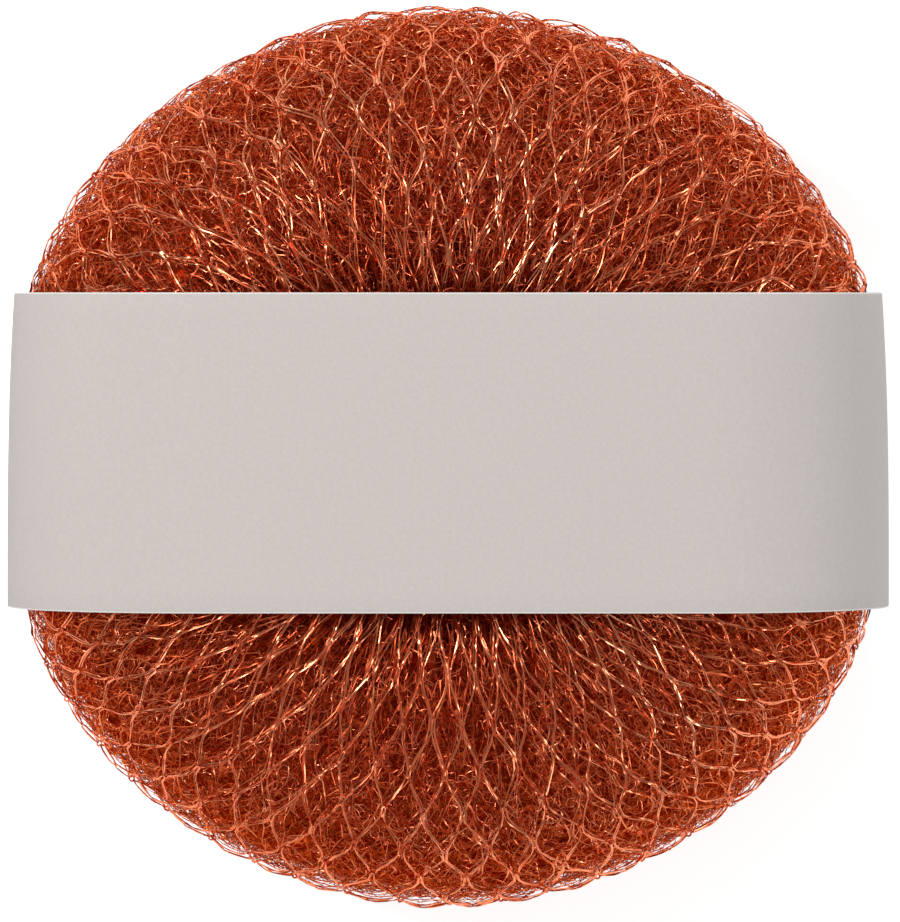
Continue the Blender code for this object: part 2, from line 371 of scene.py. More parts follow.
def painted_depth_shade(depth):
    """Painted shade of a wire deep in the roll, on its map: 1.3 times its share of the greatest depth."""
    return 1.3 * depth / bpy.context.scene.sponge_knit.hole_depth


def enclosed(points, faces):
    """Six times the volume that the faces enclose, which is negative where they face inwards."""
    first = points[faces[:, 0]]
    volume = 0
    for corner in range(1, faces.shape[1] - 1):
        volume += np.sum(first * np.cross(points[faces[:, corner]], points[faces[:, corner + 1]]))
    return volume


def mesh_object(name, points, faces, materials, places=None, numbers=None, sharp=False):
    """A smooth shaded object from arrays of points and of faces with equal numbers of corners.

    The faces are all turned over where they face inwards. Each corner can have its place on the
    wires' map, and each face the number of its material.
    """
    if enclosed(points, faces) <= 0:
        faces = faces[:, ::-1]
        places = None if places is None else places[:, ::-1]
    points, faces = np.asarray(points, dtype=np.float32), np.asarray(faces, dtype=np.int32)
    mesh = bpy.data.meshes.new(name)
    count, corners = faces.shape
    mesh.vertices.add(len(points))
    mesh.vertices.foreach_set("co", points.ravel())
    mesh.loops.add(count * corners)
    mesh.loops.foreach_set("vertex_index", faces.ravel())
    mesh.polygons.add(count)
    mesh.polygons.foreach_set("loop_start", np.arange(0, count * corners, corners, dtype=np.int32))
    mesh.update(calc_edges=True)
    mesh.validate()
    if places is not None:
        layer = mesh.uv_layers.new(name=WIRE_MAP)
        layer.uv.foreach_set("vector", np.asarray(places, dtype=np.float32).ravel())
    mesh.shade_smooth()
    if sharp:
        mesh.set_sharp_from_angle(angle=SHARP_ANGLE)
    for material in materials:
        mesh.materials.append(material)
    if numbers is not None:
        mesh.polygons.foreach_set("material_index", np.asarray(numbers, dtype=np.int32))
    thing = bpy.data.objects.new(name, mesh)
    bpy.context.scene.collection.objects.link(thing)
    return thing


def ring_faces(index):
    """Quads between neighbouring rings of points, from their indices by ring and place in the ring."""
    here, after = index[..., :-1, :], index[..., 1:, :]
    faces = np.stack((here, np.roll(here, -1, axis=-1), np.roll(after, -1, axis=-1), after), axis=-1)
    return faces.reshape(-1, 4)


def lid_faces(index):
    """Strips of quads that close the first and the last ring, where a ring has an even number of places."""
    places = index.shape[-1]
    lone = np.arange(places // 2 - 1)
    strips = np.stack((lone, lone + 1, places - 2 - lone, places - 1 - lone), axis=-1)
    return np.concatenate((index[0][strips[:, ::-1]], index[-1][strips]))


def wire_mesh(name, lines, normals, width, thickness, twist, tarnish, level, sides, material, closed=True):
    """Flat wires along many lines of equally many points.

    Across each line stands a section with `sides` corners on an ellipse as wide as the wire and as
    thick, turned by the twist from the surface's own side direction. Neighbouring sections are
    joined by quads. Each quad's place on the map is its tarnish across and its level up, where the
    level is painted shade for wire deep in the roll. An open wire narrows to its two ends and has 4
    sides, so that one quad closes each end.
    """
    count, steps, _ = lines.shape
    if closed:
        along = np.roll(lines, -1, axis=1) - np.roll(lines, 1, axis=1)
    else:
        along = np.gradient(lines, axis=1)
    along = unit(along)
    side = unit(np.cross(along, normals))
    rise = np.cross(side, along)
    wide = np.cos(twist)[..., None] * side + np.sin(twist)[..., None] * rise
    thick = np.cos(twist)[..., None] * rise - np.sin(twist)[..., None] * side
    corner = np.arange(sides) * TURN / sides
    reach = np.ones(steps)
    if not closed:
        reach[0] = reach[-1] = WIRE_TIP
    width = np.broadcast_to(width, (count, steps))[:, :, None, None]
    section = np.cos(corner)[:, None] * wide[:, :, None, :] * width / 2
    section = section + np.sin(corner)[:, None] * thick[:, :, None, :] * thickness / 2
    points = (lines[:, :, None, :] + section * reach[None, :, None, None]).reshape(-1, 3)
    index = np.arange(count * steps * sides).reshape(count, steps, sides)
    here, after = (index, np.roll(index, -1, axis=1)) if closed else (index[:, :-1], index[:, 1:])
    faces = np.stack((here, after, np.roll(after, -1, axis=2), np.roll(here, -1, axis=2)), axis=-1)
    places = np.empty(faces.shape + (2,))
    patch = PATCH * np.array(((-1, 1, 1, -1), (-1, -1, 1, 1)))
    for axis, tone in enumerate((tarnish, level)):
        tone = np.broadcast_to(tone, (count, steps))
        tone = (tone + np.roll(tone, -1, axis=1)) / 2
        tone = tone if closed else tone[:, :-1]
        places[..., axis] = np.clip(tone, *TONES)[:, :, None, None] + patch[axis]
    faces, places = faces.reshape(-1, 4), places.reshape(-1, 4, 2)
    if not closed:
        ends = np.concatenate((index[:, 0, :], index[:, -1, ::-1]))
        faces = np.concatenate((faces, ends))
        places = np.concatenate((places, np.repeat(places[:1], len(ends), axis=0)))
    return mesh_object(name, points, faces, [material], places, sharp=True)


def even_net(net, rises):
    """Places on an even net of knit: arrays of course and point, of x in wales, y in courses and the rise.

    Each course is a closed wave round the ring. From a knot of one row a leg rises to a knot of the
    next row, half a wale on, turns over in a small loop and falls back. Legs run side by side
    through a knot and sweep over in an S between knots. Each loop reaches past its knots, over the
    last course's head and under the next one's, so that the courses hang on each other. The rise
    goes from 0 in the lower knot to 1 in the upper one.
    """
    knit = bpy.context.scene.sponge_knit
    ball = bpy.context.scene.sponge_ball
    wales, courses = net
    reach = ball.radius_y - ball.crest_radius
    angle_step = 2 * knit.end_angle / courses
    overlap = knit.hook * (knit.wales / wales) / (angle_step * reach)
    course = np.arange(courses)[:, None, None]
    wale = np.arange(wales)[None, :, None]

    def leg_space(row):
        """Half the distance between the legs in a row's knots, in wales and within bounds."""
        radius = ball.crest_radius + reach * np.cos(knit.end_angle - angle_step * row)
        return np.clip(knit.leg_gap / 2 * wales / (TURN * np.maximum(radius, LEAST_RADIUS)), 0.03, 0.12)

    low, high = leg_space(course), leg_space(course + 1)
    rise = np.array((-overlap, *rises, 1 + overlap))
    sweep = eased(np.clip(rise, 0, 1))
    span = 0.5 - low - high
    one = np.ones_like(low)
    across = np.concatenate((low + span * sweep, 0.5 * one, 0.5 + high + span * sweep, one), axis=2)
    head = (low + high) / 2
    up = np.concatenate((rise * one, 1 + overlap + head, rise[::-1] * one, -overlap - head), axis=2)
    x = wale + across + (course % 2) / 2
    y = course + up + np.zeros_like(x)
    rise = np.clip(up, 0, 1) + np.zeros_like(x)
    return [part.reshape(courses, -1) for part in (x, y, rise)]


def knit_lines(net, rises, first, share, crumple, curl, seed, curl_seed):
    """Centre lines of a layer of knit, laid on the ball at a share of the way to the heart.

    Random shifts on the net's own grid move everything round a knot together, times the crumple and
    one plus half the sine of the turn, so farther on the ball's upper half. A finer one curls single
    wires. A loop lies higher at its foot and lower at its head, and under the band no wire stands
    out. The arrays of course and point are the lines, their normals, x and y on the even net, how
    open the knit is, from 0 in a knot to 1 halfway between two, and the depth.
    """
    knit = bpy.context.scene.sponge_knit
    wales, courses = net
    x, y, rise = even_net(net, rises)
    shifts = [
        sum(wander(seed + axis + 3 * order, net, pair, x, y) for order, pair in enumerate(pairs))
        for axis, pairs in enumerate((ROUND_SHIFTS, ALONG_SHIFTS, DEPTH_SHIFTS))
    ]
    curls = [lattice_noise(curl_seed + axis, *net, CURL_CELL, x, y) for axis in range(3)]
    crumple = crumple * (1 + 0.5 * np.sin(TURN * x / wales))
    turn = TURN * (x + crumple * shifts[0] + curl * curls[0]) / wales
    angle_step = 2 * knit.end_angle / courses
    angle = knit.end_angle - angle_step * (y + crumple * shifts[1] + curl * curls[1])
    depth = layer_depth(turn, angle, first, share) + knit.hook_lift * (2 * rise - 1)
    depth = depth + crumple * shifts[2] + curl * CURL_DEPTH * curls[2]
    held = np.abs(on_ball(turn, angle, 0 * depth)[..., 1]) < knit.held_width
    depth = np.where(held, np.maximum(depth, knit.wire_width / 2), depth)
    lines, normals = under_ball(turn, angle, depth)
    return lines, normals, x, y, np.sin(math.pi * rise), depth


def loop_lines(knit, seed):
    """Small loose loops: arrays of loop and point for the lines and normals, and the loops' depths.

    Each loop is an ellipse bent like a saddle, at a random place between the first rolled layer and
    the heart, and turned at random out of the surface. They stand closer towards the rim and on the
    ball's upper half: 0.35 of its cosine is added to a random turn, and a random share of 0.8 of the
    end angle is multiplied by 0.55 plus 0.45 of itself. The share of the way to the heart is 0.8 of
    a random one to the power 1.5.
    """
    rng = np.random.default_rng(seed)
    count = knit.loops
    around = np.arange(LOOP_POINTS) * TURN / LOOP_POINTS
    turn = rng.uniform(0, TURN, count)
    turn = turn + 0.35 * np.cos(turn)
    angle = rng.uniform(-1, 1, count)
    angle = 0.8 * knit.end_angle * angle * (0.55 + 0.45 * np.abs(angle))
    share = rng.uniform(0, 1, count) ** 1.5 * 0.8
    depth = layer_depth(turn, angle, knit.gap, share)
    centre, normal = under_ball(turn, angle, depth)
    axis = unit(np.cross(normal, rng.normal(size=(count, 3))))
    second = np.cross(normal, axis)
    tilt = rng.uniform(*LOOP_TILT, count)[:, None]
    second = np.cos(tilt) * second + np.sin(tilt) * normal
    third = np.cross(axis, second)
    wide = rng.uniform(*LOOP_RADII, count)[:, None, None]
    slim = wide * rng.uniform(*LOOP_SLIMNESS, count)[:, None, None]
    bend = wide * rng.uniform(*LOOP_BEND, count)[:, None, None]
    lines = centre[:, None, :] + wide * np.cos(around)[None, :, None] * axis[:, None, :]
    lines = lines + slim * np.sin(around)[None, :, None] * second[:, None, :]
    lines = lines + bend * np.sin(2 * around)[None, :, None] * third[:, None, :]
    return lines, np.repeat(third[:, None, :], LOOP_POINTS, axis=1), depth[:, None]


def ply(lines, normals, offset, sway):
    """The lines moved aside by an offset in the direction of a sway angle from the surface."""
    along = np.roll(lines, -1, axis=1) - np.roll(lines, 1, axis=1)
    side = unit(np.cross(unit(along), normals))
    return lines + offset[..., None] * (np.cos(sway)[..., None] * side + np.sin(sway)[..., None] * normals)


def on_neck(turn, share, layer):
    """Points on the gathered end at a share of its half-height from its middle and of its radius.

    The radius grows from the waist in the tie wire to the flare at the ends with the square of the
    height's share times 0.7 plus 0.3 of that share.
    """
    flare = (NECK_HIGH[0] - NECK_LOW[0]) / 2
    radius = layer * (NECK_WAIST + (flare - NECK_WAIST) * share**2 * (0.7 + 0.3 * np.abs(share)))
    z = (NECK_LOW[2] + NECK_HIGH[2]) / 2 + (NECK_HIGH[2] - NECK_LOW[2]) / 2 * share
    return np.stack(np.broadcast_arrays(radius * np.cos(turn), radius * np.sin(turn), z), axis=-1)


def level_run(start, end, count, z):
    """Points at equal steps of x from a start to an end, all at one height."""
    return np.column_stack((np.linspace(start, end, count), np.full(count, z)))


def band_path(band, offset):
    """The band's section in X and Z at an offset out from the paper's inner face.

    Raised lap end, step down, flat back, round end that follows the ball's own section, flat front,
    and the same mirrored back to the outer end of the lap.
    """
    middle = bpy.context.scene.sponge_ball.middle_z
    half_lap = band.lap / 2
    raised = 2 * band.thickness + band.glue - offset
    laid = band.thickness - offset
    bend = half_lap + band.lap_gap
    angle = np.linspace(-math.pi / 2, math.pi / 2, END_POINTS)
    end = on_ball(0.0, angle, -band.clearance - offset)
    x = end[:, 0]
    z = np.where(angle < 0, middle + (middle - laid) * np.sin(angle), end[:, 2])
    first = level_run(-half_lap, bend, 12, raised)
    steps = np.linspace(0, 1, 8)[1:]
    step = np.column_stack((bend + band.joggle * steps, raised + (laid - raised) * eased(steps)))
    flat_back = level_run(bend + band.joggle, x[0], 8, laid)[1:-1]
    front = level_run(x[-1], -x[-1], 26, z[-1])[1:-1]
    last = level_run(-x[0], half_lap, 20, laid)[1:]
    right = np.column_stack((x, z))
    left = np.column_stack((-x, z))[::-1]
    return np.concatenate((first, step, flat_back, right, front, left, last))


def band_surface(band):
    """The strip as a grid of path by cross section, closed at its ends: points, faces, and which are cut.

    Across the band the section goes over the outer face, round one cut edge, back over the inner
    face and round the other. Slow waves lift both faces of the front together, and the reach in X
    shrinks with the third power of the way to the upper edge.
    """
    inner, outer = band_path(band, 0.0), band_path(band, band.thickness)
    low, high = BAND_LOW[1], BAND_HIGH[1]
    round_edge = band.thickness / 2
    inside = np.linspace(low + round_edge, high - round_edge, FACE_POINTS)
    arc = np.linspace(0, math.pi, EDGE_POINTS)[1:-1]
    bulge = round_edge * np.sin(arc)
    across = np.concatenate((inside, high - round_edge + bulge, inside[::-1], low + round_edge - bulge))
    whole = np.ones(inside.size)
    out = np.concatenate((whole, (1 + np.cos(arc)) / 2, 0 * whole, (1 - np.cos(arc)) / 2))
    flat = inner[:, None, :] * (1 - out)[None, :, None] + outer[:, None, :] * out[None, :, None]
    x, z = flat[..., 0], flat[..., 1]
    y = across[None, :] + 0 * x
    upness = (y - low) / (high - low)
    x = x * (1 - band.taper * upness**3 / BAND_HIGH[0])
    middle = bpy.context.scene.sponge_ball.middle_z
    wave = lattice_noise(RIPPLE_SEED, 1.0, high - low, RIPPLE_CELL, x - BAND_LOW[0], y - low)
    z = z + band.ripple * (1 + wave) / 2 * np.clip((z - middle) / (BAND_HIGH[2] - middle), 0, 1) ** 2
    points = np.stack((x, y, z), axis=-1)
    rows, columns = x.shape
    index = np.arange(rows * columns).reshape(rows, columns)
    lids = lid_faces(index)
    cut = np.zeros((rows - 1, columns))
    cut[:, inside.size - 1:inside.size + arc.size] = 1
    cut[:, 2 * inside.size + arc.size - 1:] = 1
    cut = np.concatenate((cut.ravel(), np.ones(len(lids))))
    return points.reshape(-1, 3), np.concatenate((ring_faces(index), lids)), cut


def set_inputs(tree, node, inputs):
    """Links each input of a node to a socket, or sets it to a value, where a colour gets alpha 1."""
    for name, value in inputs.items():
        socket = node.inputs[name]
        if isinstance(value, bpy.types.NodeSocket):
            tree.links.new(value, socket)
        else:
            socket.default_value = (*value, 1) if socket.type == "RGBA" else value


def add_node(tree, kind, inputs=None, **settings):
    """Adds a node and makes its settings, values and links."""
    node = tree.nodes.new(kind)
    for name, value in settings.items():
        setattr(node, name, value)
    set_inputs(tree, node, inputs or {})
    return node


def new_material(name):
    """An empty node material with a Principled surface, and its tree and shader."""
    material = bpy.data.materials.new(name)
    material.use_nodes = True
    return material, material.node_tree, material.node_tree.nodes["Principled BSDF"]


def made_material(name):
    """The material that an earlier operator has made."""
    if name not in bpy.data.materials:
        raise RuntimeError(f"The material {name} isn't made yet. Run the operators above this one first.")
    return bpy.data.materials[name]


def copper_wire(name, coat, smoothest, roughest):
    """Soft copper, drawn and then rolled flat: a bright metal that mirrors its own red glow between wires.

    The map's U holds how tarnished a stretch is, and V how deep it lies in the roll, which paints shade:
    deeper wire is mixed towards the darker, redder deep colour. Where there is a thin clear lacquer it
    gives the pale glints. A mix's colours are its inputs 6 and 7 and output 2.
    """
    material, tree, shader = new_material(name)
    copper = bpy.context.scene.sponge_copper
    place = add_node(tree, "ShaderNodeUVMap", uv_map=WIRE_MAP)
    axes = add_node(tree, "ShaderNodeSeparateXYZ", {0: place.outputs["UV"]})
    tarnish, level = axes.outputs["X"], axes.outputs["Y"]
    wear = add_node(tree, "ShaderNodeMix", {
        0: tarnish, 6: copper.bright, 7: copper.tarnished}, data_type="RGBA")
    # Painted shade: the deeper a wire lies, the more it is mixed towards the deep colour.
    shade = add_node(tree, "ShaderNodeMix", {0: level, 6: wear.outputs[2], 7: copper.deep}, data_type="RGBA")
    rough = add_node(tree, "ShaderNodeMapRange", {"Value": tarnish, "To Min": smoothest, "To Max": roughest})
    set_inputs(tree, shader, {
        "Base Color": shade.outputs[2], "Roughness": rough.outputs["Result"], "Metallic": 1.0,
        "Specular Tint": copper.glancing, "Coat Weight": coat, "Coat Roughness": 0.08, "Coat IOR": 1.55})
    return material


def line_pattern(tree, place, cell, offset, width):
    """Fine curled lines: 1 where a noise is near its middle value, and 0 away from there.

    The noise has a cell in millimetres and an offset in metres, and the lines a width in its values.
    """
    moved = add_node(tree, "ShaderNodeVectorMath", {0: place, 1: (offset, offset, offset)}, operation="ADD")
    noise = add_node(tree, "ShaderNodeTexNoise", {
        "Vector": moved.outputs["Vector"], "Scale": MM_PER_METRE / cell, "Detail": 1.0, "Distortion": 0.6})
    off = add_node(tree, "ShaderNodeMath", {0: noise.outputs["Fac"], 1: 0.5}, operation="SUBTRACT")
    size = add_node(tree, "ShaderNodeMath", {0: off.outputs["Value"]}, operation="ABSOLUTE")
    line = add_node(tree, "ShaderNodeMapRange", {
        "Value": size.outputs["Value"], "From Max": width, "To Min": 1.0, "To Max": 0.0},
        interpolation_type="SMOOTHSTEP")
    return line.outputs["Result"]


def matted_copper():
    """The dense heart of the roll: fine curled wires, copper red, over gaps painted dark as shade.

    Three patterns of lines, with the wires' own bends of 1.6, 1.3 and 1.1 mm, lie over each other. Each
    is darker than the one above it, as painted shade deeper in the roll.
    """
    material, tree, shader = new_material("matted_copper")
    copper = bpy.context.scene.sponge_copper
    place = add_node(tree, "ShaderNodeTexCoord").outputs["Object"]
    mat = line_pattern(tree, place, 1.613, 0.0, 0.05)
    # The fourth value dims each lower pattern of lines, as painted shade.
    for cell, offset, width, light in ((1.282, 1.0, 0.05, 0.75), (1.1111, 2.0, 0.06, 0.5)):
        under = line_pattern(tree, place, cell, offset, width)
        dimmed = add_node(tree, "ShaderNodeMath", {0: under, 1: light}, operation="MULTIPLY")
        upper = add_node(tree, "ShaderNodeMath", {0: mat, 1: dimmed.outputs["Value"]}, operation="MAXIMUM")
        mat = upper.outputs["Value"]
    bump = add_node(tree, "ShaderNodeBump", {"Height": mat, "Strength": 1.0, "Distance": 0.0003})
    # The gaps between the lines take the heart colour, which is painted shade.
    shade = add_node(tree, "ShaderNodeMix", {0: mat, 6: copper.heart, 7: copper.tarnished}, data_type="RGBA")
    set_inputs(tree, shader, {
        "Base Color": shade.outputs[2], "Normal": bump.outputs["Normal"], "Roughness": 0.42,
        "Specular Tint": copper.glancing, "Metallic": 1.0})
    return material


def uncoated_card():
    """Uncoated card with a flat grey print: matt, with faint fibres, and white where it is cut.

    Real fibres are about 0.03 mm wide, too fine to show, and are drawn as spots of 0.42 mm.
    """
    material, tree, shader = new_material("uncoated_card")
    paper = bpy.context.scene.sponge_paper
    place = add_node(tree, "ShaderNodeTexCoord")
    fibres = add_node(tree, "ShaderNodeTexNoise", {
        "Vector": place.outputs["Object"], "Scale": MM_PER_METRE / 0.4167, "Detail": 4.0, "Roughness": 0.6})
    blend = add_node(tree, "ShaderNodeMapRange", {
        "Value": fibres.outputs["Fac"], "From Min": 0.2, "From Max": 0.8})
    face = add_node(tree, "ShaderNodeMix", {
        0: blend.outputs["Result"], 6: paper.face, 7: paper.fibre}, data_type="RGBA")
    bump = add_node(tree, "ShaderNodeBump", {
        "Height": fibres.outputs["Fac"], "Strength": 0.15, "Distance": 0.00005})
    set_inputs(tree, shader, {
        "Base Color": face.outputs[2], "Normal": bump.outputs["Normal"], "Roughness": 0.85})
    return material


def card_core():
    """The bare white middle of the card, where the guillotine has cut it: rougher than the face.

    The torn fibres are too fine to show, and are drawn as grains of 0.33 mm.
    """
    material, tree, shader = new_material("card_core")
    place = add_node(tree, "ShaderNodeTexCoord")
    grain = add_node(tree, "ShaderNodeTexNoise", {
        "Vector": place.outputs["Object"], "Scale": MM_PER_METRE / 0.3333})
    bump = add_node(tree, "ShaderNodeBump", {
        "Height": grain.outputs["Fac"], "Strength": 0.3, "Distance": 0.00005})
    set_inputs(tree, shader, {
        "Base Color": bpy.context.scene.sponge_paper.edge, "Normal": bump.outputs["Normal"],
        "Roughness": 0.9})
    return material


def mottled(name, shade, metallic, cell, smoothest, roughest):
    """A plain finish whose roughness varies in soft spots as large as a cell, in millimetres."""
    material, tree, shader = new_material(name)
    place = add_node(tree, "ShaderNodeTexCoord")
    spots = add_node(tree, "ShaderNodeTexNoise", {
        "Vector": place.outputs["Object"], "Scale": MM_PER_METRE / cell})
    rough = add_node(tree, "ShaderNodeMapRange", {
        "Value": spots.outputs["Fac"], "To Min": smoothest, "To Max": roughest})
    set_inputs(tree, shader, {
        "Base Color": shade, "Metallic": metallic, "Roughness": rough.outputs["Result"]})
    return material


def give_finish(node, material):
    """Makes one of the solids wear a material alone."""
    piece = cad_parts[node]
    piece.data.materials.clear()
    piece.data.materials.append(material)


def place_piece(piece, body, slot, *nodes):
    """Makes a piece ride on its body and stand for its nodes, which it hides; the slot is not used."""
    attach(piece, body)
    if nodes:
        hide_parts(*nodes)


def lamp(name, size, place, aim, radiance):
    """A square softbox of a size and radiance at a place, aimed at a point."""
    light = bpy.data.lights.new(name, "AREA")
    light.shape = "SQUARE"
    light.size = size
    light.energy = radiance * math.pi * size * size
    thing = bpy.data.objects.new(name, light)
    thing.location = place
    thing.rotation_euler = (Vector(aim) - Vector(place)).to_track_quat("-Z", "Y").to_euler()
    bpy.context.scene.collection.objects.link(thing)


def make_floor(stage):
    """A pale matt floor that shows white to the camera and in the metal, and keeps the shadow."""
    mesh = bpy.data.meshes.new("floor")
    corners = [(x * FLOOR_HALF, y * FLOOR_HALF, FLOOR_Z) for x, y in ((-1, -1), (1, -1), (1, 1), (-1, 1))]
    mesh.from_pydata(corners, [], [(0, 1, 2, 3)])
    material, tree, shader = new_material("pale_floor")
    path = add_node(tree, "ShaderNodeLightPath").outputs
    seen = path["Is Camera Ray"]
    for ray in ("Is Glossy Ray", "Is Transmission Ray"):
        seen = add_node(tree, "ShaderNodeMath", {0: seen, 1: path[ray]}, operation="MAXIMUM").outputs["Value"]
    lift = add_node(tree, "ShaderNodeMath", {0: seen, 1: stage.floor_lift}, operation="MULTIPLY")
    set_inputs(tree, shader, {
        "Emission Strength": lift.outputs["Value"], "Emission Color": (1, 1, 1),
        "Base Color": stage.floor, "Roughness": 0.9})
    mesh.materials.append(material)
    floor = bpy.data.objects.new("floor", mesh)
    bpy.context.scene.collection.objects.link(floor)


class SpongeOuterKnit(bpy.types.Operator):
    """Build the outermost layer of knit, two wires knitted as one"""

    bl_idname = "sponge.outer_knit"
    bl_label = "Outer knit"

    def execute(self, context):
        knit = context.scene.sponge_knit
        net = (knit.wales, knit.courses)
        material = copper_wire("rolled_copper_wire", 0.45, 0.16, 0.38)
        lines, normals, x, y, opened, _ = knit_lines(
            net, COARSE_LEGS, first=0.0, share=0.0, crumple=0.6, curl=0.03,
            seed=OUTER_SHIFT_SEED, curl_seed=OUTER_CURL_SEED)
        # The wires are finer and closer towards the hole, and farther apart on the ball's upper half.
        outward = (1 + np.cos(knit.end_angle * (1 - 2 * y / knit.courses))) / 2
        upper = 1 + 0.5 * np.sin(TURN * x / knit.wales)
        width = from_least(LEAST_WIDTH, outward) * knit.wire_width
        gap = from_least(LEAST_GAP_IN_KNOT, opened) * upper * from_least(LEAST_GAP, outward)
        gap = gap * (1 + wander(SPREAD_SEED, net, SPREAD, x, y)) * knit.ply_gap
        sway = wander(SWAY_SEED, net, SWAY, x, y)
        for number, side in enumerate((-1, 1)):
            twist = KNOT_TWIST * (1 - opened) + wander(OUTER_TWIST_SEED + number, net, OUTER_TWIST, x, y)
            tarnish = 0.5 + wander(OUTER_TARNISH_SEED + number, net, OUTER_TARNISH, x, y)
            piece = wire_mesh(
                f"outer_knit_{number + 1}", ply(lines, normals, side * gap / 2, sway), normals,
                width, knit.wire_thickness, twist, tarnish, 0.0, 4, material)
            place_piece(piece, "sponge", "copper_net", "outer_net")
        return {"FINISHED"}


class SpongeUnderKnit(bpy.types.Operator):
    """Build the layers of knit under the outer one, more crumpled the deeper they lie"""

    bl_idname = "sponge.under_knit"
    bl_label = "Under knit"

    def execute(self, context):
        knit = context.scene.sponge_knit
        material = copper_wire("rubbed_copper_wire", 0.0, 0.25, 0.45)
        coarse = (knit.wales, knit.courses)
        fine = (2 * knit.wales - 14, 2 * knit.courses - 4)
        # Net and its legs, first depth, share of the way to the heart, crumple, curl, and share of the width.
        layers = (
            (coarse, COARSE_LEGS, knit.gap / 2, 0.0, 0.9, 0.07, 0.8),
            (coarse, COARSE_LEGS, knit.gap, 0.08, 1.2, 0.14, 0.65),
            (fine, FINE_LEGS, knit.gap, 0.15, 1.6, 0.20, 0.65),
            (fine, FINE_LEGS, knit.gap, 0.4, 1.8, 0.25, 0.62),
            (fine, FINE_LEGS, knit.gap, 0.7, 2.0, 0.25, 0.62),
        )
        for number, (net, legs, first, share, crumple, curl, width) in enumerate(layers):
            shift_seed, curl_seed, twist_seed, tarnish_seed = UNDER_SEEDS[number]
            lines, normals, x, y, _, depth = knit_lines(
                net, legs, first, share, crumple, curl, shift_seed, curl_seed)
            twist = wander(twist_seed, net, UNDER_TWIST, x, y)
            tarnish = 0.5 + wander(tarnish_seed, net, UNDER_TARNISH, x, y)
            # The map's level is painted shade: deeper wires come out darker and redder.
            piece = wire_mesh(
                f"under_knit_{number + 1}", lines, normals, width * knit.wire_width,
                UNDER_THICKNESS * knit.wire_thickness, twist, tarnish, painted_depth_shade(depth), 3, material)
            place_piece(piece, "sponge", "copper_roll", "middle_turn")
        return {"FINISHED"}


class SpongeLooseLoops(bpy.types.Operator):
    """Build the small loose loops of wire that stand between the layers"""

    bl_idname = "sponge.loose_loops"
    bl_label = "Loose loops"

    def execute(self, context):
        knit = context.scene.sponge_knit
        material = made_material("rubbed_copper_wire")
        for number in range(LOOP_SETS):
            lines, normals, depth = loop_lines(knit, LOOP_SEED + number)
            rng = np.random.default_rng(LOOP_FINISH_SEED + number)
            twist = rng.uniform(-1.5, 1.5, (knit.loops, 1)) + np.linspace(-1, 1, LOOP_POINTS)[None, :]
            tarnish = rng.uniform(0, 0.8, (knit.loops, 1))
            # The map's level is painted shade: deeper loops come out darker and redder.
            piece = wire_mesh(
                f"loose_loops_{number + 1}", lines, normals, LOOP_WIDTH * knit.wire_width,
                LOOP_THICKNESS * knit.wire_thickness, twist, tarnish, painted_depth_shade(depth), 3, material)
            place_piece(piece, "sponge", "copper_roll", "middle_turn")
        return {"FINISHED"}


class SpongeHeart(bpy.types.Operator):
    """Build the dense middle of the roll, which closes the view through the knit"""

    bl_idname = "sponge.heart"
    bl_label = "Heart of the roll"

    def execute(self, context):
        columns, rows = HEART_GRID
        column, row = np.arange(columns)[:, None], np.arange(rows)[None, :]
        turn, angle = column * TURN / columns, row * TURN / rows
        x, y = turn / TURN * columns + 0 * angle, angle / TURN * rows + 0 * turn
        lump = lattice_noise(HEART_SEED, columns, rows, HEART_LUMP_CELL, x, y) * np.sin(angle / 2)
        points = on_ball(turn, angle, heart_depth(angle) + HEART_LUMP * lump).reshape(-1, 3)
        index = np.arange(columns * rows).reshape(columns, rows)
        faces = ring_faces(np.concatenate((index, index[:1])))
        piece = mesh_object("heart_of_roll", points, faces, [matted_copper()])
        place_piece(piece, "sponge", "copper_roll", "inner_turn", "core_ring")
        return {"FINISHED"}


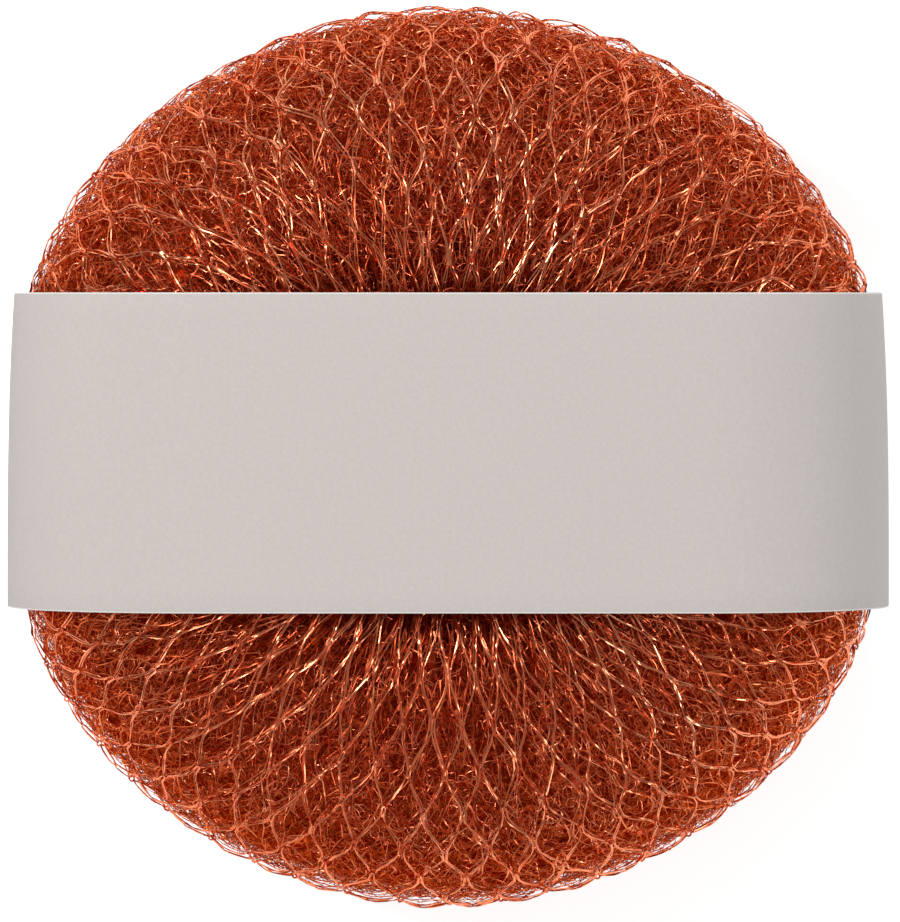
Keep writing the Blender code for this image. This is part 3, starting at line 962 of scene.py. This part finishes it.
class SpongeNeck(bpy.types.Operator):
    """Build the gathered end of the knit in the hole, a waisted bundle of wires round a fluted middle"""

    bl_idname = "sponge.neck"
    bl_label = "Gathered end"

    def execute(self, context):
        knit = context.scene.sponge_knit
        rng = np.random.default_rng(NECK_SEED)
        each = (NECK_WIRES, 1)
        share = np.linspace(-1, 1, NECK_STEPS)[None, :]
        # The wires fill the outer 0.15 of the radius, and each turns by up to half a radian to its ends.
        layer = np.sqrt(rng.uniform(0.72, 1, each))
        turn = TURN * np.arange(NECK_WIRES)[:, None] * GOLDEN_SHARE + 0.5 * rng.uniform(-1, 1, each) * share
        normals = unit(np.stack((np.cos(turn), np.sin(turn), 0 * turn), axis=-1))
        twist = rng.uniform(-1.5, 1.5, each) + 0.8 * share
        tarnish = rng.uniform(0, 1, each)
        # The gathered end sits in the hole, so its wires take 0.6 of the painted deep shade.
        piece = wire_mesh(
            "gathered_end", on_neck(turn, share, layer), normals, knit.wire_width, knit.wire_thickness,
            twist, tarnish, 0.6, 4, made_material("rolled_copper_wire"), closed=False)
        place_piece(piece, "sponge", "copper_roll", "gathered_neck")
        # The middle, 0.86 of the radius wide, has 12 flutes and is domed by the eighth power at its ends.
        rings, places = NECK_GRID
        index = np.arange(rings * places).reshape(rings, places)
        turn = (np.arange(places) * TURN / places)[None, :]
        share = NECK_MIDDLE * np.sin(np.linspace(-0.98, 0.98, rings) * math.pi / 2)[:, None]
        domed = np.sqrt(1 - (share / (NECK_MIDDLE + 0.001)) ** 8)
        points = on_neck(turn, share, domed * (0.86 - 0.06 * np.cos(12 * turn + 2 * share))).reshape(-1, 3)
        faces = np.concatenate((ring_faces(index), lid_faces(index)))
        piece = mesh_object("gathered_middle", points, faces, [made_material("matted_copper")])
        place_piece(piece, "sponge", "copper_roll", "gathered_neck")
        return {"FINISHED"}


class SpongeTie(bpy.types.Operator):
    """Give the tie wire its finish"""

    bl_idname = "sponge.tie"
    bl_label = "Tie wire"

    def execute(self, context):
        # Drawn copper, a clear warm metal. The marks of the die are too fine to show, so the spots
        # of 0.4 mm stand for them.
        bright = context.scene.sponge_copper.bright
        give_finish("tie_wire", mottled("drawn_copper_wire", bright, 1.0, 0.4, 0.2, 0.4))
        return {"FINISHED"}


class SpongeBand(bpy.types.Operator):
    """Build the paper band, one strip bent round the ball and lapped at the back"""

    bl_idname = "sponge.band"
    bl_label = "Paper band"

    def execute(self, context):
        points, faces, cut = band_surface(context.scene.sponge_band)
        piece = mesh_object(
            "paper_strip", points, faces, [uncoated_card(), card_core()], numbers=cut, sharp=True)
        place_piece(piece, "band", "paper", "paper_band")
        return {"FINISHED"}


class SpongeGlue(bpy.types.Operator):
    """Give the glue in the lap its finish"""

    bl_idname = "sponge.glue"
    bl_label = "Glue"

    def execute(self, context):
        # Hot-melt glue, pale and waxy, with flow marks of 2.5 mm.
        glue = context.scene.sponge_paper.glue
        give_finish("glue_strip", mottled("hot_melt_glue", glue, 0.0, 2.5, 0.25, 0.5))
        return {"FINISHED"}


class SpongeStage(bpy.types.Operator):
    """Set the floor, the lamps, the world and the camera"""

    bl_idname = "sponge.stage"
    bl_label = "Stage"

    def execute(self, context):
        scene = context.scene
        stage = scene.sponge_stage
        middle = scene.sponge_ball.middle_z
        make_floor(stage)
        # Each softbox's name, size, place and radiance.
        for name, size, place, radiance in (
            ("key_softbox", 0.18, (-0.32, 0.18, 0.52), stage.key),
            ("right_softbox", 0.20, (0.62, 0.05, 0.26), 1.6 * stage.fill),
            ("near_softbox", 0.26, (-0.15, -0.60, 0.50), stage.fill),
            ("far_softbox", 0.24, (-0.05, 0.62, 0.42), stage.fill),
        ):
            lamp(name, size, place, (0, 0, middle), radiance)
        world = bpy.data.worlds.new("studio")
        world.use_nodes = True
        background = world.node_tree.nodes["Background"]
        set_inputs(world.node_tree, background, {"Color": (1, 1, 1), "Strength": stage.ambient})
        scene.world = world
        data = bpy.data.cameras.new("camera")
        data.sensor_fit = "VERTICAL"
        data.sensor_height = SENSOR_HEIGHT
        data.lens = SENSOR_HEIGHT * stage.camera_distance / stage.view_height
        data.clip_start = 0.01
        data.clip_end = 20.0
        camera = bpy.data.objects.new("camera", data)
        camera.location = (stage.view_x, stage.camera_y, middle + stage.camera_distance)
        camera.rotation_euler = (math.atan2(stage.view_y - stage.camera_y, stage.camera_distance), 0, 0)
        scene.collection.objects.link(camera)
        scene.camera = camera
        scene.view_settings.view_transform = "Standard"
        return {"FINISHED"}


OPERATORS = (
    SpongeStage, SpongeOuterKnit, SpongeUnderKnit, SpongeLooseLoops, SpongeHeart, SpongeNeck, SpongeTie,
    SpongeBand, SpongeGlue,
)


class SpongePanel(bpy.types.Panel):
    """Lists the sponge's builders and sizes"""

    bl_idname = "VIEW3D_PT_sponge"
    bl_label = "Pot Sponge"
    bl_space_type = "VIEW_3D"
    bl_region_type = "UI"
    bl_category = "Sponge"

    def draw(self, context):
        for operator in OPERATORS:
            self.layout.operator(operator.bl_idname)
        for name, group in SETTINGS.items():
            box = self.layout.box()
            box.label(text=group.__name__)
            for prop in group.__annotations__:
                box.prop(getattr(context.scene, name), prop)


def register():
    for group in SETTINGS.values():
        bpy.utils.register_class(group)
    for name, group in SETTINGS.items():
        setattr(bpy.types.Scene, name, PointerProperty(type=group))
    for operator in OPERATORS:
        bpy.utils.register_class(operator)
    bpy.utils.register_class(SpongePanel)


def unregister():
    bpy.utils.unregister_class(SpongePanel)
    for operator in reversed(OPERATORS):
        bpy.utils.unregister_class(operator)
    for name, group in SETTINGS.items():
        delattr(bpy.types.Scene, name)
        bpy.utils.unregister_class(group)


def main():
    register()
    for operator in OPERATORS:
        group, name = operator.bl_idname.split(".")
        getattr(getattr(bpy.ops, group), name)()


if __name__ == "__main__":
    main()
